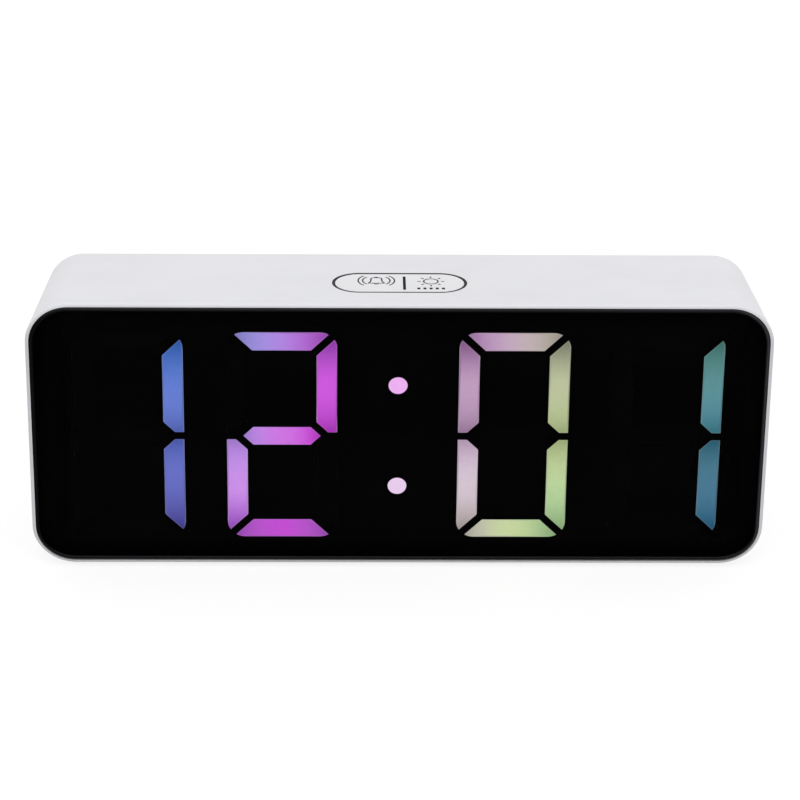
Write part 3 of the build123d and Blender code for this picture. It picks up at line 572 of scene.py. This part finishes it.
def glow(letter, stops, share):
    """A segment's colour at a share of its length: paler in the middle, dimmer at the ends."""
    share = min(max(share, 0), 1)
    colour = between(stops, share)
    if "dot" in letter:
        return colour
    endness = (2 * share - 1) ** 2
    return [v * (1 - END_DIMMING_SHARE * endness) + MIDDLE_PALER_SHARE * (1 - endness) for v in colour]


def front_faces(mesh):
    """The segments' flat fronts, each as one face."""
    mesh.normal_update()
    flat = [face for face in mesh.faces if face.normal.dot(FRONT) > FLAT_SHARE]
    return bmesh.ops.dissolve_faces(mesh, faces=flat, use_verts=False)["region"]


def box_in_case(corners):
    """The lowest and the highest corner of the box round some corners, in the case's frame."""
    points = [in_case(vert.co) for vert in corners]
    low = Vector([min(p[axis] for p in points) for axis in range(3)])
    high = Vector([max(p[axis] for p in points) for axis in range(3)])
    return low, high


def cut_across(mesh, front, low, high):
    """Divides a segment's front crosswise, so that the glow can change along it."""
    way = RIGHT if is_level(low, high) else UP
    length = (high - low).dot(way)
    steps = int(length / GLOW_STEP)
    faces = [front]
    for number in range(1, steps):
        faces = cut(mesh, faces, low + way * (length * number / steps), way)
    return faces


def lit_segments(node, glows):
    """A digit's lit inserts, or the dots, with the hues of their LEDs on their fronts."""
    mesh = joined_copy(node)
    layer = mesh.verts.layers.float_color.new(GLOW_LAYER)
    fronts = front_faces(mesh)
    boxes = [box_in_case(face.verts) for face in fronts]
    node_low, node_high = box_in_case(mesh.verts)
    digit_centre = (node_low.x + node_high.x) / 2
    if "a" not in glows:
        # Of a 1 only the right strokes are lit, so its centre is to their left
        digit_centre = node_low.x - MIDDLE_BAND
    for face, (low, high) in zip(fronts, boxes):
        letter = segment_letter(low, high, digit_centre)
        bmesh.ops.inset_individual(
            mesh, faces=[face], thickness=OUTLINE_WIDTH * MM, use_even_offset=True
        )
        rim = {vert for edge in face.edges for near in edge.link_faces for vert in near.verts}
        inner = {vert for part in cut_across(mesh, face, low, high) for vert in part.verts}
        for vert in rim | inner:
            spot = in_case(vert.co)
            if is_level(low, high):
                share = (spot.x - low.x) / (high.x - low.x)
            else:
                share = (high.z - spot.z) / (high.z - low.z)
            colour = glow(letter, glows[letter], share)
            if vert not in inner:
                colour = [v + (1 - v) * OUTLINE_PALER_SHARE for v in colour]
            vert[layer] = (*colour, 1)
    piece = new_piece(node.replace("inserts", "glow"), mesh, "clock", (LIT,))
    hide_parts(node)


for node, glows in GLOWS.items():
    lit_segments(node, glows)


# Battery cells: a dark sleeve with a copper band at the raised end, bare metal on both ends
CELL_CENTRE = -38.0
BAY_LENGTH = 50.9
CELL_PITCH = 10.8
BAND_SHARE = 0.28
CELL_LENGTH = 43.7
SPRING_ROOM = 5.0

# How much of a face's normal lies along the cells on their ends, and at most on their round sides
END_FACING = 0.9
SIDE_FACING = 0.5
CELL_LOOKS = (SLEEVE, BAND, NICKEL)


def battery_cells():
    """The three cells, which point to the right and to the left by turns."""
    mesh = joined_copy("battery_cells")
    start_reach = BAY_LENGTH / 2 - SPRING_ROOM
    for side in (-1, 1):
        edge = CELL_CENTRE + side * (start_reach - CELL_LENGTH * (1 - BAND_SHARE))
        cut(mesh, mesh.faces, RIGHT * edge, RIGHT)
    mesh.normal_update()
    for face in mesh.faces:
        spot = in_case(face.calc_center_median())
        way = 1 if round(spot.z / CELL_PITCH) % 2 else -1
        start = CELL_CENTRE - way * start_reach
        along = (spot.x - start) * way / CELL_LENGTH
        if abs(face.normal.x) > END_FACING or along > 1:
            look = NICKEL
        elif along > 1 - BAND_SHARE:
            look = BAND
        else:
            look = SLEEVE
        face.material_index = CELL_LOOKS.index(look)
        face.smooth = abs(face.normal.x) < SIDE_FACING
    piece = new_piece("sleeved_cells", mesh, "clock", CELL_LOOKS)
    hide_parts("battery_cells")


battery_cells()


# Printed marks: flat strokes of ink, thinner than 0.02 mm
INK_THICKNESS = 0.016
INK_LIFT = 0.004
INK_CORNER_GAP = 0.0001
ARC_STEP = radians(7.5)
SHARPEST_MITRE = 0.5


def arc(centre, radius, start, end):
    """Points along an arc, with its angles in degrees."""
    start, end = radians(start), radians(end)
    steps = max(2, round(abs(end - start) / ARC_STEP))
    angles = [start + (end - start) * number / steps for number in range(steps + 1)]
    return [(centre[0] + radius * cos(a), centre[1] + radius * sin(a)) for a in angles]


def moved(points, place, scale=1.0):
    """The points scaled about the origin and then moved to a place."""
    return [(x * scale + place[0], y * scale + place[1]) for x, y in points]


def stroke(points, width, closed=False):
    """A band of even width along the points, as quads with mitred corners."""
    points = [Vector(point) for point in points]
    count = len(points)
    sides = []
    for number, point in enumerate(points):
        before = points[number - 1] if closed or number else point
        after = points[(number + 1) % count] if closed or number < count - 1 else point
        first = (point - before).normalized() if before != point else (after - point).normalized()
        second = (after - point).normalized() if after != point else first
        normal = Vector((-first.y - second.y, first.x + second.x)).normalized()
        reach = width / 2 / max(normal.dot(Vector((-first.y, first.x))), SHARPEST_MITRE)
        sides.append((point + normal * reach, point - normal * reach))
    ends = sides[1:] + sides[:1] if closed else sides[1:]
    return [(start[0], start[1], end[1], end[0]) for start, end in zip(sides, ends)]


def ring(centre, radius, width):
    """A round line."""
    return stroke(arc(centre, radius, 0, 360)[:-1], width, closed=True)


def bar(centre, width, height):
    """A filled rectangle."""
    x, y = centre
    left, right, low, high = x - width / 2, x + width / 2, y - height / 2, y + height / 2
    return [((left, low), (right, low), (right, high), (left, high))]


def printed(name, shapes, place, body, look):
    """The flat shapes as a thin layer of ink on a drawing plane."""
    mesh = bmesh.new()
    for shape in shapes:
        mesh.faces.new([mesh.verts.new((x * MM, y * MM, INK_LIFT * MM)) for x, y in shape])
    bmesh.ops.remove_doubles(mesh, verts=mesh.verts, dist=INK_CORNER_GAP * MM)
    raised = bmesh.ops.extrude_face_region(mesh, geom=mesh.faces[:], use_keep_orig=True)["geom"]
    top = [part for part in raised if isinstance(part, bmesh.types.BMVert)]
    bmesh.ops.translate(mesh, verts=top, vec=(0, 0, INK_THICKNESS * MM))
    bmesh.ops.recalc_face_normals(mesh, faces=mesh.faces)
    bmesh.ops.transform(mesh, matrix=place, verts=mesh.verts)
    return new_piece(name, mesh, body, (look,))


# Bell sign about its middle: the corners of its right flank, then arcs by centre, radius, start and end
BELL_FLANK = [(1.76, -1.6), (1.7, -1.35), (1.36, -0.75), (1.22, -0.1)]
BELL_SHOULDER = ((0.4, 1.0), 0.8, 0, 90)
BELL_KNOB = ((0, 1.9), 0.3, 0, 180)
BELL_CLAPPER = ((0, -1.7), 0.5, 200, 340)


def bell(place, scale, width):
    """A bell's outline with its knob and clapper."""
    half = BELL_FLANK + arc(*BELL_SHOULDER)
    outline = half + [(-x, y) for x, y in reversed(half)]
    shapes = stroke(moved(outline, place, scale), width, closed=True)
    for line in (BELL_KNOB, BELL_CLAPPER):
        shapes += stroke(moved(arc(*line), place, scale), width)
    return shapes


# Top key: bell with sound waves, divider, sun, and a row of level marks
PRINT_WIDTH = 0.3
BELL_PLACE = (-5.16, 1.3)
WAVE_RADII = (3.05, 4.05)
WAVE_SPREAD = 46
DIVIDER_PLACE = (1.05, -0.2)
DIVIDER_SIZE = (0.62, 8.2)
SUN_PLACE = (6.95, 0.9)
SUN_RADIUS = 1.6
RAY_COUNT = 8
RAY_START = 2.25
RAY_END = 3.0
LEVEL_PLACE = (6.92, -3.5)
LEVEL_PITCH = 1.36
LEVEL_SIZE = (0.66, 1.0)
LEVEL_COUNT = 5


def key_marks():
    """The print on the top key."""
    shapes = bell(BELL_PLACE, 1.0, PRINT_WIDTH)
    for radius in WAVE_RADII:
        for way in (0, 180):
            wave = arc(BELL_PLACE, radius, way - WAVE_SPREAD, way + WAVE_SPREAD)
            shapes += stroke(wave, PRINT_WIDTH)
    shapes += bar(DIVIDER_PLACE, *DIVIDER_SIZE)
    shapes += ring(SUN_PLACE, SUN_RADIUS, PRINT_WIDTH)
    for number in range(RAY_COUNT):
        angle = number * 2 * pi / RAY_COUNT
        ends = [(cos(angle) * reach, sin(angle) * reach) for reach in (RAY_START, RAY_END)]
        shapes += stroke(moved(ends, SUN_PLACE), PRINT_WIDTH)
    for number in range(LEVEL_COUNT):
        step = (number - (LEVEL_COUNT - 1) / 2) * LEVEL_PITCH
        shapes += bar((LEVEL_PLACE[0] + step, LEVEL_PLACE[1]), *LEVEL_SIZE)
    printed("top_key_print", shapes, KEY_TOP, "top_key", INK)


key_marks()


# Rear: a plain mark over each key, and signs by the slide and under the socket
FIRST_BUTTON = 13.4
BUTTON_PITCH = 11.0
BUTTON_RISE = 8.6
MARK_RISE = 6.2
MARK_WIDTH = 0.28
BOLD_WIDTH = MARK_WIDTH * 1.5
SIGN_LENGTH = 2.4
CLOCK_RADIUS = 1.5
CLOCK_HANDS = ((0, 0.9), (0, 0), (0.7, -0.3))
DROP_SPOTS = ((0, 0.75), (-0.8, -0.6), (0.8, -0.6))
DROP_RADIUS = 0.65
KEY_BELL_SCALE = 0.75
SLIDE_BELL_SCALE = 0.7
SLIDE_SPOT = (16.0, -8.6)
SLIDE_BELL_REACH = 6.2
STRIKE_REACH = 1.7
SOCKET_SPOT = (57.0, -8.6)
SOCKET_SIGN_DROP = 4.2
CURRENT_LINE = (4.0, MARK_WIDTH * 1.4)
CURRENT_DASH = (1.0, MARK_WIDTH * 1.4)
LINE_RISE = 0.5
DASH_DROP = 0.6
DASH_PITCH = 1.5


def clock_face(place):
    """A round clock with two hands."""
    return ring(place, CLOCK_RADIUS, MARK_WIDTH) + stroke(moved(CLOCK_HANDS, place), MARK_WIDTH)


def minus_sign(place):
    """A level bar."""
    return bar(place, SIGN_LENGTH, BOLD_WIDTH)


def plus_sign(place):
    """A level and an upright bar."""
    return minus_sign(place) + bar(place, BOLD_WIDTH, SIGN_LENGTH)


def drops(place):
    """Three rings, as on a colour key."""
    return [shape for spot in moved(DROP_SPOTS, place) for shape in ring(spot, DROP_RADIUS, MARK_WIDTH)]


def slide_signs(x, z):
    """A bell on each side of the slide, one of them struck out."""
    shapes = bell((x + SLIDE_BELL_REACH, z), SLIDE_BELL_SCALE, MARK_WIDTH)
    shapes += bell((x - SLIDE_BELL_REACH, z), SLIDE_BELL_SCALE, MARK_WIDTH)
    struck = (x + SLIDE_BELL_REACH, z)
    strike = moved(((-STRIKE_REACH, -STRIKE_REACH), (STRIKE_REACH, STRIKE_REACH)), struck)
    return shapes + stroke(strike, MARK_WIDTH)


def socket_sign(x, z):
    """A line and a dashed line, the usual sign for direct current."""
    shapes = bar((x, z + LINE_RISE), *CURRENT_LINE)
    for number in (-1, 0, 1):
        shapes += bar((x + number * DASH_PITCH, z - DASH_DROP), *CURRENT_DASH)
    return shapes


def rear_marks():
    """The print on the rear cover, as seen from behind, where the case's x runs to the left."""
    height = BUTTON_RISE + MARK_RISE
    time, alarm, plus, minus, colour = [
        (-FIRST_BUTTON - number * BUTTON_PITCH, height) for number in range(len(KEY_NAMES))
    ]
    shapes = clock_face(time) + bell(alarm, KEY_BELL_SCALE, MARK_WIDTH)
    shapes += plus_sign(plus) + minus_sign(minus) + drops(colour)
    shapes += slide_signs(-SLIDE_SPOT[0], SLIDE_SPOT[1])
    shapes += socket_sign(-SOCKET_SPOT[0], SOCKET_SPOT[1] - SOCKET_SIGN_DROP)
    printed("rear_cover_print", shapes, REAR_FACE, "clock", PALE_INK)


rear_marks()


# Studio: a pale floor, a pale world and soft square lamps, all in metres and watts
FLOOR_REACH = 3.0
FLOOR_GRID = 24
FLOOR_TONE = 0.25
FLOOR_GLOW = 0.8
WORLD_TONE = 0.6
LAMP_AIM = Vector((0, 0, 0.03))
OVERHEAD_SIZE = 1.4
FILL_SIZE = 0.8
LAMPS = (
    ("overhead_softbox", (0.0, 0.0, 1.3), OVERHEAD_SIZE, 4.9),
    ("left_fill", (-1.0, -0.8, 0.8), FILL_SIZE, 3.5),
    ("right_fill", (1.0, -0.8, 0.8), FILL_SIZE, 3.8),
    ("left_rear_fill", (-1.3, 0.9, 0.35), FILL_SIZE, 2.0),
    ("right_rear_fill", (1.3, 0.9, 0.35), FILL_SIZE, 2.2),
)


def white_rays(tree):
    """1 for the rays that see a white background: the camera's, and those off gloss or through glass."""
    rays = tree.nodes.new("ShaderNodeLightPath")
    highest = rays.outputs["Is Camera Ray"]
    for name in ("Is Glossy Ray", "Is Transmission Ray"):
        larger = tree.nodes.new("ShaderNodeMath")
        larger.operation = "MAXIMUM"
        tree.links.new(highest, larger.inputs[0])
        tree.links.new(rays.outputs[name], larger.inputs[1])
        highest = larger.outputs[0]
    return highest


def pale_floor():
    """The floor's material: matt, and white to the rays that see the background."""
    material = bpy.data.materials.new("pale_floor")
    material.use_nodes = True
    tree = material.node_tree
    tree.nodes.clear()
    matt = tree.nodes.new("ShaderNodeBsdfDiffuse")
    matt.inputs["Color"].default_value = (FLOOR_TONE, FLOOR_TONE, FLOOR_TONE, 1)
    light = tree.nodes.new("ShaderNodeEmission")
    level = tree.nodes.new("ShaderNodeMath")
    level.operation = "MULTIPLY"
    level.inputs[1].default_value = FLOOR_GLOW
    both = tree.nodes.new("ShaderNodeAddShader")
    output = tree.nodes.new("ShaderNodeOutputMaterial")
    tree.links.new(white_rays(tree), level.inputs[0])
    tree.links.new(level.outputs[0], light.inputs["Strength"])
    tree.links.new(matt.outputs[0], both.inputs[0])
    tree.links.new(light.outputs[0], both.inputs[1])
    tree.links.new(both.outputs[0], output.inputs["Surface"])
    return material


def floor():
    """A wide level square under the clock."""
    mesh = bmesh.new()
    bmesh.ops.create_grid(mesh, x_segments=FLOOR_GRID, y_segments=FLOOR_GRID, size=FLOOR_REACH)
    data = bpy.data.meshes.new("floor")
    mesh.to_mesh(data)
    mesh.free()
    data.materials.append(pale_floor())
    piece = put("floor", data)


def world():
    """An even pale world that looks white in the picture."""
    scene = bpy.context.scene
    scene.world = bpy.data.worlds.new("studio")
    scene.world.use_nodes = True
    tree = scene.world.node_tree
    background = tree.nodes["Background"]
    tone = tree.nodes.new("ShaderNodeMapRange")
    tone.inputs["To Min"].default_value = WORLD_TONE
    tone.inputs["To Max"].default_value = 1.0
    tree.links.new(white_rays(tree), tone.inputs["Value"])
    tree.links.new(tone.outputs["Result"], background.inputs["Strength"])
    background.inputs["Color"].default_value = (1, 1, 1, 1)


def lamp(name, place, size, power):
    """A soft square lamp that shines at the clock."""
    data = bpy.data.lights.new(name, "AREA")
    data.shape = "SQUARE"
    data.size = size
    data.energy = power
    piece = put(name, data)
    piece.location = place
    piece.rotation_mode = "QUATERNION"
    piece.rotation_quaternion = (LAMP_AIM - Vector(place)).to_track_quat("-Z", "Y")


floor()
world()
for name, place, size, power in LAMPS:
    lamp(name, place, size, power)

# Camera: fitted to the photograph in the case's frame. The focal share is the focal length over the
# sensor's width, and the near limit is in metres.
CAMERA_RISE = radians(28.245)
CAMERA_TURN = radians(-1.103)
CAMERA_ROLL = radians(0.662)
CAMERA_DISTANCE = 817.2
CAMERA_AIM = Vector((0.122, 0, 9.305))
SENSOR_WIDTH = 36.0
FOCAL_SHARE = 4.61
NEAR_LIMIT = 0.01


def camera():
    """The camera of the photograph."""
    level = cos(CAMERA_RISE)
    back = Vector((sin(CAMERA_TURN) * level, -cos(CAMERA_TURN) * level, sin(CAMERA_RISE)))
    right = UP.cross(back).normalized()
    up = back.cross(right)
    turned_right = right * cos(CAMERA_ROLL) + up * sin(CAMERA_ROLL)
    turned_up = up * cos(CAMERA_ROLL) - right * sin(CAMERA_ROLL)
    place = Matrix.Translation((CAMERA_AIM + back * CAMERA_DISTANCE) * MM)
    turn = Matrix((turned_right, turned_up, back)).transposed().to_4x4()
    data = bpy.data.cameras.new("photo_camera")
    data.sensor_width = SENSOR_WIDTH
    data.lens = SENSOR_WIDTH * FOCAL_SHARE
    data.clip_start = NEAR_LIMIT
    piece = put("photo_camera", data)
    piece.matrix_world = CASE @ place @ turn
    bpy.context.scene.camera = piece


camera()
bpy.context.scene.view_settings.view_transform = "Standard"
